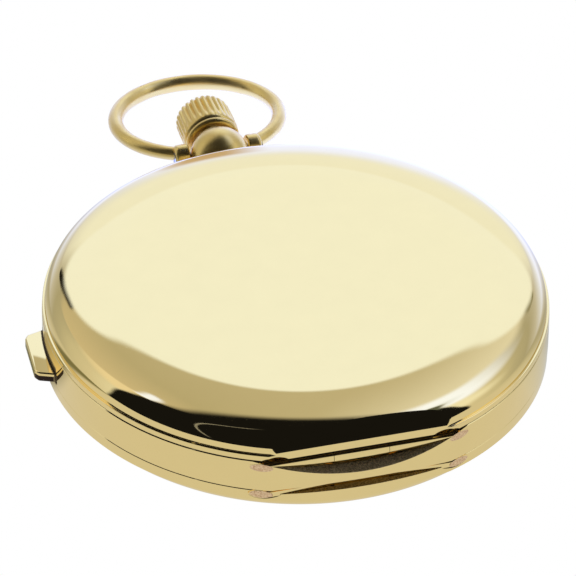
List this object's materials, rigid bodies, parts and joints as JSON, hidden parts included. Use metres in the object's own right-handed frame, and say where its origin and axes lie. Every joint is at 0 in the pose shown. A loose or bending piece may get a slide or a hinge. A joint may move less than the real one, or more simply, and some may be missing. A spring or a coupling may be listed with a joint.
{
  "type": "chronograph pocket watch",
  "caption": "Full hunter pocket watch with smooth domed covers, round bow, fluted crown, band push-piece and a chronograph movement inside.",
  "frame": {"origin": "middle of the flat outside of the front cover, which the watch lies on", "axes": "+Z out of the back cover, +Y towards the pendant and crown, +X to the right seen from the back"},
  "size_m": [0.0547, 0.0759, 0.0113],
  "materials": {
    "polished_gold": "mirror polished yellow gold",
    "cuvette_gold": "polished gilt",
    "crystal": "clear polished glass",
    "enamel": "fired white enamel",
    "steel": "fine straight grain",
    "blued_steel": "heat blued and polished",
    "nickel": "frosted nickel",
    "gilt_brass": "gilt, circular grain",
    "ruby": "polished ruby"
  },
  "bodies": {
    "case": {"case_band": "polished_gold", "bezel": "polished_gold", "crystal": "crystal", "back_hinge_pin": "steel", "front_hinge_pin": "steel", "cuvette_hinge_pin": "steel", "pendant": "polished_gold", "bow_screws": "steel", "push_piece_spring": "blued_steel", "catch_spring": "blued_steel", "lift_spring": "blued_steel", "dial": "enamel", "main_plate": "nickel", "barrel_bridge": "nickel", "train_bridge": "nickel", "pallet_cock": "nickel", "balance_cock": "nickel", "chronograph_bridge": "nickel", "hairspring": "blued_steel", "column_jumper": "blued_steel", "bridge_screws": "blued_steel", "case_screws": "blued_steel", "jewels": "ruby"},
    "back_cover": {"back_cover": "polished_gold"},
    "front_cover": {"front_cover": "polished_gold"},
    "cuvette": {"cuvette": "cuvette_gold"},
    "bow": {"bow": "polished_gold"},
    "push_sleeve": {"push_sleeve": "steel"},
    "crown": {"crown": "polished_gold", "winding_stem": "steel"},
    "push_piece": {"push_piece": "polished_gold"},
    "operating_lever": {"operating_lever": "steel"},
    "column_wheel": {"column_wheel": "steel"},
    "clutch_lever": {"clutch_lever": "steel"},
    "clutch_wheel": {"clutch_wheel": "gilt_brass"},
    "brake_lever": {"brake_lever": "steel"},
    "hammer": {"hammer": "steel"},
    "crown_wheel": {"crown_wheel": "steel"},
    "ratchet_wheel": {"ratchet_wheel": "steel"},
    "click": {"click": "steel"},
    "barrel": {"mainspring_barrel": "gilt_brass"},
    "centre_wheel": {"centre_wheel": "gilt_brass", "minute_hand": "blued_steel"},
    "third_wheel": {"third_wheel": "gilt_brass"},
    "fourth_wheel": {"fourth_wheel": "gilt_brass", "seconds_hand": "blued_steel"},
    "escape_wheel": {"escape_wheel": "steel"},
    "pallet_fork": {"pallet_fork": "steel"},
    "balance": {"balance_wheel": "gilt_brass"},
    "minute_wheel": {"minute_wheel": "gilt_brass"},
    "hour_wheel": {"hour_wheel": "gilt_brass", "hour_hand": "blued_steel"},
    "chronograph_wheel": {"chronograph_wheel": "gilt_brass", "chronograph_hand": "blued_steel"},
    "counter_wheel": {"counter_wheel": "gilt_brass", "counter_hand": "blued_steel"}
  },
  "joints": [
    {"name": "back_cover_hinge", "type": "hinge", "parent": "case", "child": "back_cover", "pos_m": [0, -0.02429, 0.0069], "axis": [1, 0, 0], "range_deg": [0, 80]},
    {"name": "front_cover_hinge", "type": "hinge", "parent": "case", "child": "front_cover", "pos_m": [0, -0.02429, 0.0035], "axis": [-1, 0, 0], "range_deg": [0, 80]},
    {"name": "cuvette_hinge", "type": "hinge", "parent": "case", "child": "cuvette", "pos_m": [0, -0.02315, 0.00812], "axis": [1, 0, 0], "range_deg": [0, 72]},
    {"name": "bow_swing", "type": "hinge", "parent": "case", "child": "bow", "pos_m": [0, 0.031, 0.00583], "axis": [1, 0, 0], "range_deg": [-70, 90]},
    {"name": "crown_push", "type": "slide", "parent": "case", "child": "push_sleeve", "axis": [0, 1, 0], "range_m": [-0.0004, 0], "stiffness_N_per_m": 4000},
    {"name": "crown_turn", "type": "hinge", "parent": "push_sleeve", "child": "crown", "pos_m": [0, 0.036, 0.00583], "axis": [0, 1, 0], "continuous": true},
    {"name": "push_piece_press", "type": "slide", "parent": "case", "child": "push_piece", "axis": [0.9981, -0.061, 0], "range_m": [0, 0.0008], "stiffness_N_per_m": 6000, "deforming": ["push_piece_spring"]},
    {"name": "operating_lever_turn", "type": "hinge", "parent": "case", "child": "operating_lever", "pos_m": [-0.0189, -0.0064, 0.0092], "axis": [0, 0, 1], "range_deg": [-12, 0]},
    {"name": "column_wheel_turn", "type": "hinge", "parent": "case", "child": "column_wheel", "pos_m": [-0.0154, 0.007, 0.0092], "axis": [0, 0, 1], "continuous": true},
    {"name": "clutch_lever_turn", "type": "hinge", "parent": "case", "child": "clutch_lever", "pos_m": [0, -0.008, 0.0095], "axis": [0, 0, 1], "range_deg": [-0.5, 1.6]},
    {"name": "clutch_wheel_turn", "type": "hinge", "parent": "clutch_lever", "child": "clutch_wheel", "pos_m": [-0.00361, -0.00618, 0.0092], "axis": [0, 0, 1], "continuous": true},
    {"name": "brake_lever_turn", "type": "hinge", "parent": "case", "child": "brake_lever", "pos_m": [0.0102, -0.006, 0.0092], "axis": [0, 0, 1], "range_deg": [-2, 1]},
    {"name": "hammer_turn", "type": "hinge", "parent": "case", "child": "hammer", "pos_m": [-0.0104, 0.0062, 0.0095], "axis": [0, 0, 1], "range_deg": [0, 6]},
    {"name": "crown_wheel_turn", "type": "hinge", "parent": "case", "child": "crown_wheel", "pos_m": [0, 0.01293, 0.0088], "axis": [0, 0, 1], "continuous": true},
    {"name": "ratchet_wheel_turn", "type": "hinge", "parent": "case", "child": "ratchet_wheel", "pos_m": [0.00825, 0.00439, 0.0088], "axis": [0, 0, 1], "continuous": true},
    {"name": "barrel_turn", "type": "hinge", "parent": "case", "child": "barrel", "pos_m": [0.00825, 0.00439, 0.0074], "axis": [0, 0, 1], "continuous": true},
    {"name": "centre_wheel_turn", "type": "hinge", "parent": "case", "child": "centre_wheel", "pos_m": [0, 0, 0.0065], "axis": [0, 0, 1], "continuous": true},
    {"name": "third_wheel_turn", "type": "hinge", "parent": "case", "child": "third_wheel", "pos_m": [-0.00437, -0.00478, 0.0073], "axis": [0, 0, 1], "continuous": true},
    {"name": "fourth_wheel_turn", "type": "hinge", "parent": "case", "child": "fourth_wheel", "pos_m": [0, -0.008, 0.0069], "axis": [0, 0, 1], "continuous": true},
    {"name": "escape_wheel_turn", "type": "hinge", "parent": "case", "child": "escape_wheel", "pos_m": [-0.00395, -0.01195, 0.0065], "axis": [0, 0, 1], "continuous": true},
    {"name": "pallet_fork_turn", "type": "hinge", "parent": "case", "child": "pallet_fork", "pos_m": [-0.00034, -0.01272, 0.0065], "axis": [0, 0, 1], "range_deg": [-5, 5]},
    {"name": "balance_swing", "type": "hinge", "parent": "case", "child": "balance", "pos_m": [0.00416, -0.01368, 0.0078], "axis": [0, 0, 1], "range_deg": [-270, 270], "stiffness_Nm_per_rad": 0.000001},
    {"name": "minute_wheel_turn", "type": "hinge", "parent": "case", "child": "minute_wheel", "pos_m": [0.0018, 0.00312, 0.0045], "axis": [0, 0, 1], "continuous": true},
    {"name": "hour_wheel_turn", "type": "hinge", "parent": "case", "child": "hour_wheel", "pos_m": [0, 0, 0.0041], "axis": [0, 0, 1], "continuous": true},
    {"name": "chronograph_wheel_turn", "type": "hinge", "parent": "case", "child": "chronograph_wheel", "pos_m": [0, 0, 0.0092], "axis": [0, 0, 1], "continuous": true},
    {"name": "counter_wheel_turn", "type": "hinge", "parent": "case", "child": "counter_wheel", "pos_m": [0, 0.008, 0.0092], "axis": [0, 0, 1], "continuous": true},
    {"name": "click_turn", "type": "hinge", "parent": "case", "child": "click", "pos_m": [0.01305, 0.0127, 0.0088], "axis": [0, 0, 1], "range_deg": [-8, 0]}
  ],
  "couplings": [
    {"joint": "cuvette_hinge", "follows": "back_cover_hinge", "ratio": 0.9},
    {"joint": "centre_wheel_turn", "follows": "fourth_wheel_turn", "ratio": 0.016667},
    {"joint": "barrel_turn", "follows": "fourth_wheel_turn", "ratio": -0.0027778},
    {"joint": "third_wheel_turn", "follows": "fourth_wheel_turn", "ratio": -0.13333},
    {"joint": "escape_wheel_turn", "follows": "fourth_wheel_turn", "ratio": -7},
    {"joint": "clutch_wheel_turn", "follows": "fourth_wheel_turn", "ratio": -1},
    {"joint": "minute_wheel_turn", "follows": "fourth_wheel_turn", "ratio": -0.0055556},
    {"joint": "hour_wheel_turn", "follows": "fourth_wheel_turn", "ratio": 0.0013889},
    {"joint": "counter_wheel_turn", "follows": "chronograph_wheel_turn", "ratio": 0.033333},
    {"joint": "crown_wheel_turn", "follows": "crown_turn", "ratio": -0.5},
    {"joint": "ratchet_wheel_turn", "follows": "crown_turn", "ratio": 0.31818},
    {"joint": "operating_lever_turn", "follows": "push_piece_press", "rad_per_m": -130.9}
  ]
}
